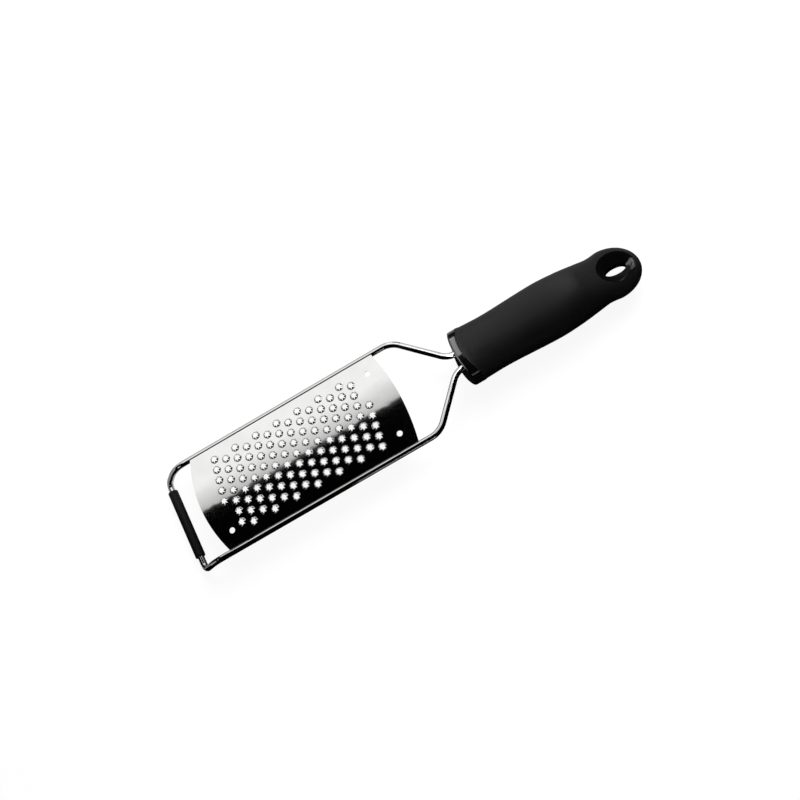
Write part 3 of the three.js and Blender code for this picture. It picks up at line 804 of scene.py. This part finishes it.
def cut_eye(piece):
    """Cuts an upright oval hole through the tail for the eye's bush."""
    bm = bmesh.new()
    middle_z = handle_axis(EYE_X - RIM_X)
    height = EYE_CUTTER_REACH * middle_z
    bmesh.ops.create_cone(bm, cap_ends=True, segments=EYE_SIDES, radius1=1, radius2=1, depth=height)
    rim = LINER_RIM + EYE_SEAM
    size = (EYE_MOUTH_LENGTH / 2 + rim, EYE_MOUTH_WIDTH / 2 + rim, 1)
    bmesh.ops.scale(bm, vec=size, verts=bm.verts)
    bmesh.ops.translate(bm, verts=bm.verts, vec=(EYE_X, 0, middle_z))
    cutter = finish_mesh(bm, "eye_cutter")
    cut = piece.modifiers.new("eye", "BOOLEAN")
    cut.operation = "DIFFERENCE"
    cut.solver = "EXACT"
    cut.object = cutter
    depsgraph = bpy.context.evaluated_depsgraph_get()
    finished = bpy.data.meshes.new_from_object(piece.evaluated_get(depsgraph))
    piece.modifiers.clear()
    piece.data = finished
    bpy.data.objects.remove(cutter)


def surface_height(x, y):
    """Height of the handle's outside over its axis at this place in plan."""
    half_width, half_height = handle_half(x - RIM_X)
    share = max(1 - abs(y / half_width) ** SECTION_POWER, 0)
    return half_height * share ** (1 / SECTION_POWER)


def eye_ring(spread, level):
    """A ring of the bush: spread 0 at the throat and 1 at its outer wall, level -1 to 1 from face to face."""
    half_length = EYE_LENGTH / 2 + (EYE_MOUTH_LENGTH / 2 + LINER_RIM - EYE_LENGTH / 2) * spread
    half_width = EYE_WIDTH / 2 + (EYE_MOUTH_WIDTH / 2 + LINER_RIM - EYE_WIDTH / 2) * spread

    def place(angle):
        x = EYE_X + half_length * math.cos(angle)
        y = half_width * math.sin(angle)
        return Vector((x, y, max(handle_axis(x - RIM_X) + level * surface_height(x, y), 0)))

    return place


def eye_bush():
    """The bush in the hanging eye: a straight throat, flaring to the tail's surface on both faces."""
    places = []
    for i in range(EYE_STEPS + 1):
        level = 1 - 2 * i / EYE_STEPS
        past = max(abs(level) - EYE_THROAT, 0) / (1 - EYE_THROAT)
        places.append(eye_ring(past ** EYE_FLARE_POWER, level))
    bm = bmesh.new()
    first, last = skin(bm, EYE_SIDES, places)
    bmesh.ops.bridge_loops(bm, edges=edges_between(last) + edges_between(first))
    bmesh.ops.recalc_face_normals(bm, faces=bm.faces)
    piece = finish_mesh(bm, "eye_bush")
    smooth(piece, GLOSS_CREASE_DEGREES)
    return piece


# Stage: floor, lights, cards that only show in reflections, and the camera

FLOOR_HALF = 1500
FLOOR_DROP = 0.02
FLOOR_SHADOW = 0.14
FLOOR_GLOW = 1.06
FILL_LEVEL = 0.25
CEILING_LEAN = (0.05, 0.6, 1.0)
CEILING_EDGE = (0.55, 0.75)
SOFTBOX_PLACE = (350, 480, 540)
SOFTBOX_SIZE = (700, 600)
SOFTBOX_POWER = 9
CAMERA_PLACE = (25.53, -199.945, 543.42)
CAMERA_TURN = (16.519, 12.574, -27.775)
LENS = 41.85
VIEW_REACH = 50

# Lines at which cards meet, and the levels they lie at
LEFT_WALL_X = -450
LEFT_X = -300
FADE_X = -197
TABLE_X = -166
COLLAR_X = 34
GRIP_X = 60
RIGHT_X = 500
FRONT_WALL_Y = -600
TABLE_Y = 20
STRIP_Y = (29, 420)
GRIP_Y = 35
FADE_Y = (53, 84)
CEILING_Z = 167
TABLE_Z = -0.01
TABLE_UNDER_Z = -0.012

# Soft edge between the blade's two halves
FADE_START = 50
FADE_LEVEL = 0.52

WHITE = "#ffffff"
BLACK = "#000000"

# Cards that only reflections see: two corners, colour and strength
CARDS = (
    # Overhead, dark in front, for the blade's dark half and the handle's black
    ("blade_flag", (LEFT_X, FRONT_WALL_Y, CEILING_Z), (0, FADE_Y[0], CEILING_Z), BLACK, 1),
    ("neck_flag", (0, FRONT_WALL_Y, CEILING_Z), (GRIP_X, -5, CEILING_Z), BLACK, 1),
    ("collar_flag", (COLLAR_X, FRONT_WALL_Y, CEILING_Z), (GRIP_X, STRIP_Y[0], CEILING_Z), BLACK, 1),
    ("handle_flag", (GRIP_X, FRONT_WALL_Y, CEILING_Z), (RIGHT_X, GRIP_Y, CEILING_Z), BLACK, 1),
    ("far_flag", (LEFT_X, FADE_Y[0], CEILING_Z), (FADE_X, 130, CEILING_Z), BLACK, 1),
    # Overhead and behind, for the sheen on the grip and the light strip on the collar, with screens beside it
    ("handle_veil", (GRIP_X, GRIP_Y, CEILING_Z), (RIGHT_X, 250, CEILING_Z), "#bcbcbc", 1),
    ("collar_strip", (COLLAR_X, STRIP_Y[0], CEILING_Z), (GRIP_X, STRIP_Y[1], CEILING_Z), WHITE, 3.4),
    ("collar_back", (COLLAR_X, STRIP_Y[1], CEILING_Z), (GRIP_X, 1400, CEILING_Z), BLACK, 1),
    ("collar_strip_screen", (33.8, STRIP_Y[0], 120), (33.8, STRIP_Y[1], CEILING_Z), BLACK, 1),
    ("collar_screen", (COLLAR_X, 120, 0), (62, 120, 62), BLACK, 1),
    # In front and behind, low down, for the sides of the teeth
    ("front_flag", (-FLOOR_HALF, FRONT_WALL_Y, 0), (FLOOR_HALF, FRONT_WALL_Y, CEILING_Z), BLACK, 1),
    ("front_band", (-120, -560, 40), (115, -560, 110), WHITE, 1),
    ("teeth_card", (-260, 150, 25), (20, 150, 140), "#d0d0d0", 1),
    # To the left, for the foot bar and its corners
    ("foot_card", (-192, -30, 60), (-168, 4, 60), WHITE, 1),
    ("foot_card_back", (-166, -32, 36), (-166, 6, 60), BLACK, 1),
    ("foot_flag", (-172, -24, 0), (-172, 24, 40), BLACK, 1),
    ("left_card", (LEFT_WALL_X, -110, 0), (LEFT_WALL_X, 500, 230), "#939393", 1),
    ("left_flag", (LEFT_WALL_X, -110, 230), (LEFT_WALL_X, 500, 500), BLACK, 1),
    # Close to the collar's rim and the eye, with a back that hides the rim's card from the blade
    ("rim_card", (30, -24, 32), (30, 8, 62), WHITE, 3.5),
    ("rim_card_back", (29.8, -24, 32), (29.8, 8, 62), BLACK, 1),
    ("eye_card", (125, 4, 30), (125, 40, 60), WHITE, 1.6),
    ("eye_flag", (155, 60, 20), (185, 60, 115), BLACK, 1),
    # On the table, for the flanks of the rods
    ("table_left", (LEFT_WALL_X, -25, TABLE_Z), (TABLE_X, FLOOR_HALF, TABLE_Z), "#898989", 1),
    ("table_back", (TABLE_X, TABLE_Y, TABLE_Z), (FLOOR_HALF, FLOOR_HALF, TABLE_Z), "#b4b4b4", 1),
    ("table_flag", (-FLOOR_HALF, -FLOOR_HALF, TABLE_UNDER_Z), (FLOOR_HALF, TABLE_Y, TABLE_UNDER_Z), BLACK, 1),
)


def seen_directly(tree):
    """1 for rays that look straight at a surface, or at its mirror image."""
    path = add_node(tree, "ShaderNodeLightPath")
    mirrored = add_node(tree, "ShaderNodeMath", {
        0: path.outputs["Is Camera Ray"], 1: path.outputs["Is Glossy Ray"]}, operation="MAXIMUM")
    seen = add_node(tree, "ShaderNodeMath", {
        0: mirrored.outputs["Value"], 1: path.outputs["Is Transmission Ray"]}, operation="MAXIMUM")
    return seen.outputs["Value"]


def floor_paper():
    """White seamless paper that reads as white and keeps a light shadow."""
    material, tree, _ = new_material("white_paper")
    matte = add_node(tree, "ShaderNodeBsdfDiffuse", {"Color": linear("#f4f4f4")})
    white = add_node(tree, "ShaderNodeEmission", {"Color": linear(WHITE), "Strength": FLOOR_GLOW})
    share = add_node(tree, "ShaderNodeMath", {
        0: seen_directly(tree), 1: 1 - FLOOR_SHADOW}, operation="MULTIPLY")
    mixed = add_node(tree, "ShaderNodeMixShader", {
        "Fac": share.outputs["Value"], 1: matte.outputs["BSDF"], 2: white.outputs["Emission"]})
    close_material(tree, mixed.outputs["Shader"])
    return material


def card_paint(name, colour, strength):
    """Paint that shines evenly."""
    material, tree, _ = new_material(name)
    glow = add_node(tree, "ShaderNodeEmission", {"Color": linear(colour), "Strength": strength})
    close_material(tree, glow.outputs["Emission"])
    return material


def fade_paint(name):
    """Paint that shines brighter from front to back."""
    material, tree, place = new_material(name)
    depth = add_node(tree, "ShaderNodeSeparateXYZ", {"Vector": place}).outputs["Y"]
    level = add_node(tree, "ShaderNodeMapRange", {
        "Value": depth, "From Min": FADE_START * MM, "From Max": FADE_Y[1] * MM, "To Min": FADE_LEVEL})
    glow = add_node(tree, "ShaderNodeEmission", {
        "Color": linear(WHITE), "Strength": level.outputs["Result"]})
    close_material(tree, glow.outputs["Emission"])
    return material


def flat_sheet(name, low, high, material):
    """A rectangle between two corners, two of whose coordinates differ."""
    low = Vector(low)
    high = Vector(high)
    bm = bmesh.new()
    along = Vector((high.x - low.x, 0, 0)) if high.x != low.x else Vector((0, high.y - low.y, 0))
    up = high - low - along
    verts = [bm.verts.new(p) for p in (low, low + along, high, low + up)]
    bm.faces.new(verts)
    sheet = finish_mesh(bm, name)
    sheet.data.materials.append(material)
    return sheet


def reflected_card(name, low, high, paint):
    """A card beside the camera's view that only polished surfaces see."""
    card = flat_sheet(name, low, high, paint)
    card.visible_camera = False
    card.visible_diffuse = False
    card.visible_transmission = False
    card.visible_shadow = False


def place_cards():
    """The cards of one brightness, and the soft edge between the blade's halves."""
    for name, low, high, colour, strength in CARDS:
        reflected_card(name, low, high, card_paint(name + "_paint", colour, strength))
    fade = fade_paint("blade_fade_paint")
    reflected_card("blade_fade", (FADE_X, FADE_Y[0], CEILING_Z), (0, FADE_Y[1], CEILING_Z), fade)


def studio_world():
    """White to look at, an even low fill, and in reflections a bright ceiling and back with a dark front."""
    world = bpy.data.worlds.new("studio")
    bpy.context.scene.world = world
    world.use_nodes = True
    tree = world.node_tree
    tree.nodes.clear()
    way = add_node(tree, "ShaderNodeTexCoord").outputs["Generated"]
    height = add_node(tree, "ShaderNodeVectorMath", {0: way, 1: CEILING_LEAN}, operation="DOT_PRODUCT")
    ceiling = add_node(tree, "ShaderNodeMapRange", {
        "Value": height.outputs["Value"], "From Min": CEILING_EDGE[0], "From Max": CEILING_EDGE[1]})
    path = add_node(tree, "ShaderNodeLightPath")
    seen = add_node(tree, "ShaderNodeMix", {
        "Factor": path.outputs["Is Glossy Ray"], "A": 1.0, "B": ceiling.outputs["Result"]})
    level = add_node(tree, "ShaderNodeMix", {
        "Factor": seen_directly(tree), "A": FILL_LEVEL, "B": seen.outputs["Result"]})
    sky = add_node(tree, "ShaderNodeBackground", {
        "Color": linear(WHITE), "Strength": level.outputs["Result"]})
    add_node(tree, "ShaderNodeOutputWorld", {"Surface": sky.outputs["Background"]})


def place_softbox():
    """A large soft lamp behind and to the right, which reflections don't see."""
    lamp = bpy.data.lights.new("softbox", "AREA")
    lamp.shape = "RECTANGLE"
    lamp.size, lamp.size_y = [s * MM for s in SOFTBOX_SIZE]
    lamp.energy = SOFTBOX_POWER
    softbox = bpy.data.objects.new("softbox", lamp)
    softbox.location = Vector(SOFTBOX_PLACE) * MM
    softbox.visible_glossy = False
    softbox.rotation_euler = (-softbox.location).to_track_quat("-Z", "Y").to_euler()
    bpy.context.scene.collection.objects.link(softbox)


def place_camera():
    """The photograph's view."""
    camera = bpy.data.cameras.new("photo_view")
    camera.lens = LENS
    camera.clip_end = VIEW_REACH
    viewer = bpy.data.objects.new("photo_view", camera)
    viewer.location = Vector(CAMERA_PLACE) * MM
    viewer.rotation_euler = [math.radians(a) for a in CAMERA_TURN]
    bpy.context.scene.collection.objects.link(viewer)
    bpy.context.scene.camera = viewer


def stage():
    """Everything round the object."""
    low = (-FLOOR_HALF, -FLOOR_HALF, -FLOOR_DROP)
    high = (FLOOR_HALF, FLOOR_HALF, -FLOOR_DROP)
    flat_sheet("floor", low, high, floor_paper())
    place_cards()
    studio_world()
    place_softbox()
    place_camera()
    bpy.context.scene.view_settings.view_transform = "Standard"


abs_black = gloss_plastic()
weld = weld_steel()

dress(blade(), [rolled_steel()], "polished_steel", "blade")
dress(frame_rod(), [drawn_steel()], "polished_steel", "frame_rod")
dress(foot_sleeve(), [foot_rubber()], "foot_rubber", "foot_sleeve")
# The collar's inward faces take a darker black: painted shade inside the mouth
dress(front_collar(), [abs_black, mouth_shade_plastic()], "gloss_black", "front_collar")
dress(grip(), [soft_grip_rubber()], "soft_grip", "grip")
dress(eye_bush(), [abs_black], "gloss_black", "hang_eye_liner")
for node_name in sorted(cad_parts):
    if node_name.startswith("weld_"):
        dress(weld_bead(node_name), [weld], "weld_steel", node_name)

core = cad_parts["handle_core"]
core.data.materials.clear()
core.data.materials.append(core_plastic())

stage()
